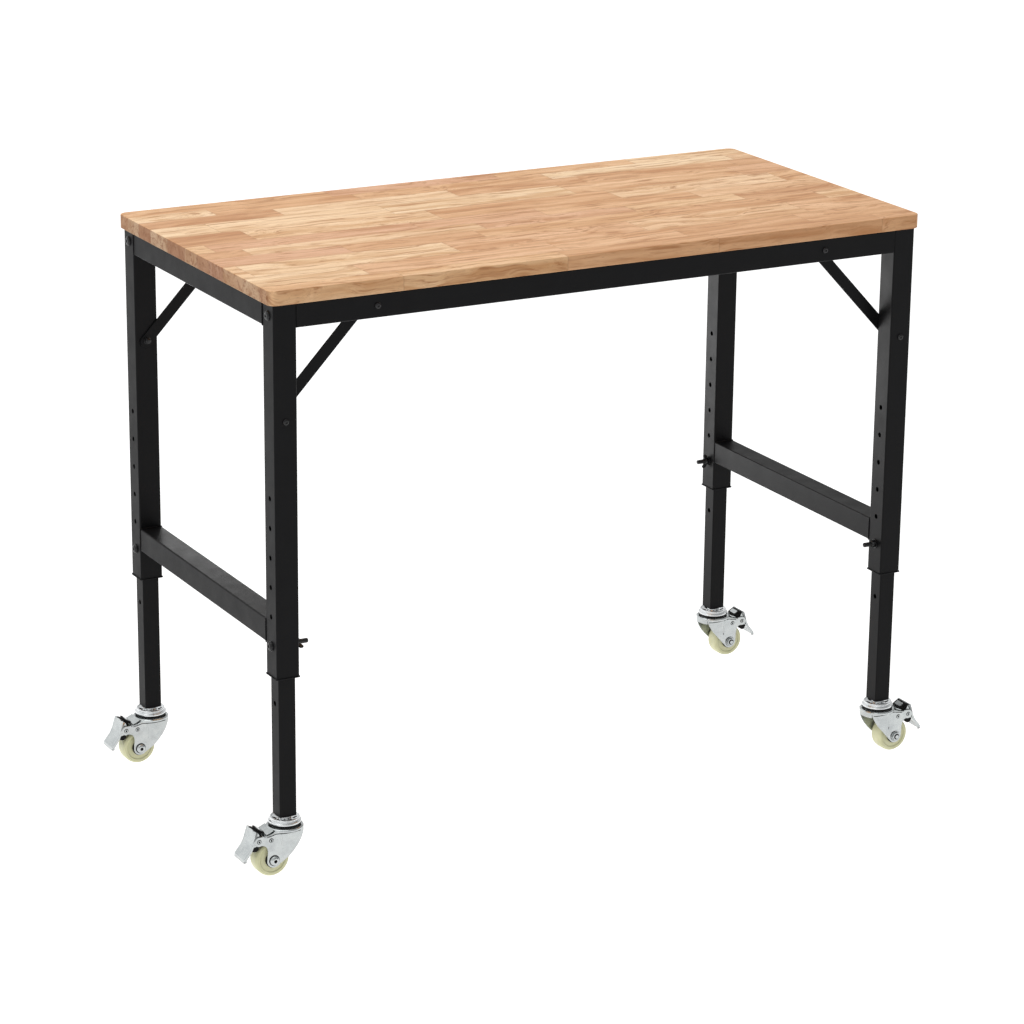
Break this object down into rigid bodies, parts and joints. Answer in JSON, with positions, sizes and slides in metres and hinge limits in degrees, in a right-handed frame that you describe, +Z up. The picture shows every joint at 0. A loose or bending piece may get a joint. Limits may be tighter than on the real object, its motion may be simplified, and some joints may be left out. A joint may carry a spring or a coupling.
{
  "type": "height-adjustable rolling workbench",
  "caption": "Rolling workbench with a solid wood top, black square-tube frame, diagonal braces, pinned telescoping legs and braked swivel casters.",
  "frame": {"origin": "on the floor under the centre of the worktop", "axes": "+X along the bench's long side, -Y towards its front, +Z up"},
  "size_m": [1.3296, 0.6186, 0.983],
  "materials": {
    "wood": "edge-glued light hardwood staves, clear satin lacquer",
    "black_steel": "black powder coat, fine texture, satin",
    "zinc": "bright zinc-plated pressed steel",
    "nylon": "cream nylon, slightly translucent",
    "black_plastic": "moulded black plastic"
  },
  "bodies": {
    "frame": {"worktop": "wood", "side_apron_left": "black_steel", "crossbar_left": "black_steel", "side_apron_right": "black_steel", "crossbar_right": "black_steel", "long_apron_front": "black_steel", "long_apron_back": "black_steel", "outer_leg_front_left": "black_steel", "leg_bushing_front_left": "black_plastic", "apron_bolt_front_left": "black_steel", "brace_front_left": "black_steel", "outer_leg_front_right": "black_steel", "leg_bushing_front_right": "black_plastic", "apron_bolt_front_right": "black_steel", "brace_front_right": "black_steel", "outer_leg_back_left": "black_steel", "leg_bushing_back_left": "black_plastic", "apron_bolt_back_left": "black_steel", "brace_back_left": "black_steel", "outer_leg_back_right": "black_steel", "leg_bushing_back_right": "black_plastic", "apron_bolt_back_right": "black_steel", "brace_back_right": "black_steel"},
    "sliding_leg_front_left": {"inner_leg_front_left": "black_steel", "caster_head_front_left": "zinc"},
    "swivel_fork_front_left": {"caster_fork_front_left": "zinc", "caster_axle_front_left": "zinc"},
    "wheel_front_left": {"caster_wheel_front_left": "nylon"},
    "pedal_front_left": {"brake_pedal_front_left": "zinc", "brake_shoe_front_left": "black_plastic"},
    "bolt_front_left": {"lock_bolt_front_left": "black_steel"},
    "nut_front_left": {"wing_nut_front_left": "black_steel"},
    "sliding_leg_front_right": {"inner_leg_front_right": "black_steel", "caster_head_front_right": "zinc"},
    "swivel_fork_front_right": {"caster_fork_front_right": "zinc", "caster_axle_front_right": "zinc"},
    "wheel_front_right": {"caster_wheel_front_right": "nylon"},
    "pedal_front_right": {"brake_pedal_front_right": "zinc", "brake_shoe_front_right": "black_plastic"},
    "bolt_front_right": {"lock_bolt_front_right": "black_steel"},
    "nut_front_right": {"wing_nut_front_right": "black_steel"},
    "sliding_leg_back_left": {"inner_leg_back_left": "black_steel", "caster_head_back_left": "zinc"},
    "swivel_fork_back_left": {"caster_fork_back_left": "zinc", "caster_axle_back_left": "zinc"},
    "wheel_back_left": {"caster_wheel_back_left": "nylon"},
    "pedal_back_left": {"brake_pedal_back_left": "zinc", "brake_shoe_back_left": "black_plastic"},
    "bolt_back_left": {"lock_bolt_back_left": "black_steel"},
    "nut_back_left": {"wing_nut_back_left": "black_steel"},
    "sliding_leg_back_right": {"inner_leg_back_right": "black_steel", "caster_head_back_right": "zinc"},
    "swivel_fork_back_right": {"caster_fork_back_right": "zinc", "caster_axle_back_right": "zinc"},
    "wheel_back_right": {"caster_wheel_back_right": "nylon"},
    "pedal_back_right": {"brake_pedal_back_right": "zinc", "brake_shoe_back_right": "black_plastic"},
    "bolt_back_right": {"lock_bolt_back_right": "black_steel"},
    "nut_back_right": {"wing_nut_back_right": "black_steel"}
  },
  "joints": [
    {"name": "leg_slide_front_left", "type": "slide", "parent": "frame", "child": "sliding_leg_front_left", "axis": [0, 0, 1], "range_m": [-0.198, 0.099]},
    {"name": "caster_swivel_front_left", "type": "hinge", "parent": "sliding_leg_front_left", "child": "swivel_fork_front_left", "pos_m": [-0.5812, -0.2783, 0.083], "axis": [0, 0, 1], "continuous": true},
    {"name": "wheel_spin_front_left", "type": "hinge", "parent": "swivel_fork_front_left", "child": "wheel_front_left", "pos_m": [-0.6092, -0.2783, 0.03], "axis": [0, 1, 0], "continuous": true},
    {"name": "brake_pedal_press_front_left", "type": "hinge", "parent": "swivel_fork_front_left", "child": "pedal_front_left", "pos_m": [-0.6356, -0.2783, 0.067], "axis": [0, -1, 0], "range_deg": [0, 12]},
    {"name": "lock_bolt_pull_front_left", "type": "slide", "parent": "frame", "child": "bolt_front_left", "axis": [-1, 0, 0], "range_m": [0, 0.065]},
    {"name": "wing_nut_off_front_left", "type": "slide", "parent": "frame", "child": "nut_front_left", "axis": [1, 0, 0], "range_m": [0, 0.024]},
    {"name": "leg_slide_front_right", "type": "slide", "parent": "frame", "child": "sliding_leg_front_right", "axis": [0, 0, 1], "range_m": [-0.198, 0.099]},
    {"name": "caster_swivel_front_right", "type": "hinge", "parent": "sliding_leg_front_right", "child": "swivel_fork_front_right", "pos_m": [0.5812, -0.2783, 0.083], "axis": [0, 0, 1], "continuous": true},
    {"name": "wheel_spin_front_right", "type": "hinge", "parent": "swivel_fork_front_right", "child": "wheel_front_right", "pos_m": [0.6092, -0.2783, 0.03], "axis": [0, 1, 0], "continuous": true},
    {"name": "brake_pedal_press_front_right", "type": "hinge", "parent": "swivel_fork_front_right", "child": "pedal_front_right", "pos_m": [0.6356, -0.2783, 0.067], "axis": [0, 1, 0], "range_deg": [0, 12]},
    {"name": "lock_bolt_pull_front_right", "type": "slide", "parent": "frame", "child": "bolt_front_right", "axis": [1, 0, 0], "range_m": [0, 0.065]},
    {"name": "wing_nut_off_front_right", "type": "slide", "parent": "frame", "child": "nut_front_right", "axis": [-1, 0, 0], "range_m": [0, 0.024]},
    {"name": "leg_slide_back_left", "type": "slide", "parent": "frame", "child": "sliding_leg_back_left", "axis": [0, 0, 1], "range_m": [-0.198, 0.099]},
    {"name": "caster_swivel_back_left", "type": "hinge", "parent": "sliding_leg_back_left", "child": "swivel_fork_back_left", "pos_m": [-0.5812, 0.2783, 0.083], "axis": [0, 0, 1], "continuous": true},
    {"name": "wheel_spin_back_left", "type": "hinge", "parent": "swivel_fork_back_left", "child": "wheel_back_left", "pos_m": [-0.6092, 0.2783, 0.03], "axis": [0, 1, 0], "continuous": true},
    {"name": "brake_pedal_press_back_left", "type": "hinge", "parent": "swivel_fork_back_left", "child": "pedal_back_left", "pos_m": [-0.6356, 0.2783, 0.067], "axis": [0, -1, 0], "range_deg": [0, 12]},
    {"name": "lock_bolt_pull_back_left", "type": "slide", "parent": "frame", "child": "bolt_back_left", "axis": [-1, 0, 0], "range_m": [0, 0.065]},
    {"name": "wing_nut_off_back_left", "type": "slide", "parent": "frame", "child": "nut_back_left", "axis": [1, 0, 0], "range_m": [0, 0.024]},
    {"name": "leg_slide_back_right", "type": "slide", "parent": "frame", "child": "sliding_leg_back_right", "axis": [0, 0, 1], "range_m": [-0.198, 0.099]},
    {"name": "caster_swivel_back_right", "type": "hinge", "parent": "sliding_leg_back_right", "child": "swivel_fork_back_right", "pos_m": [0.5812, 0.2783, 0.083], "axis": [0, 0, 1], "continuous": true},
    {"name": "wheel_spin_back_right", "type": "hinge", "parent": "swivel_fork_back_right", "child": "wheel_back_right", "pos_m": [0.6092, 0.2783, 0.03], "axis": [0, 1, 0], "continuous": true},
    {"name": "brake_pedal_press_back_right", "type": "hinge", "parent": "swivel_fork_back_right", "child": "pedal_back_right", "pos_m": [0.6356, 0.2783, 0.067], "axis": [0, 1, 0], "range_deg": [0, 12]},
    {"name": "lock_bolt_pull_back_right", "type": "slide", "parent": "frame", "child": "bolt_back_right", "axis": [1, 0, 0], "range_m": [0, 0.065]},
    {"name": "wing_nut_off_back_right", "type": "slide", "parent": "frame", "child": "nut_back_right", "axis": [-1, 0, 0], "range_m": [0, 0.024]}
  ]
}
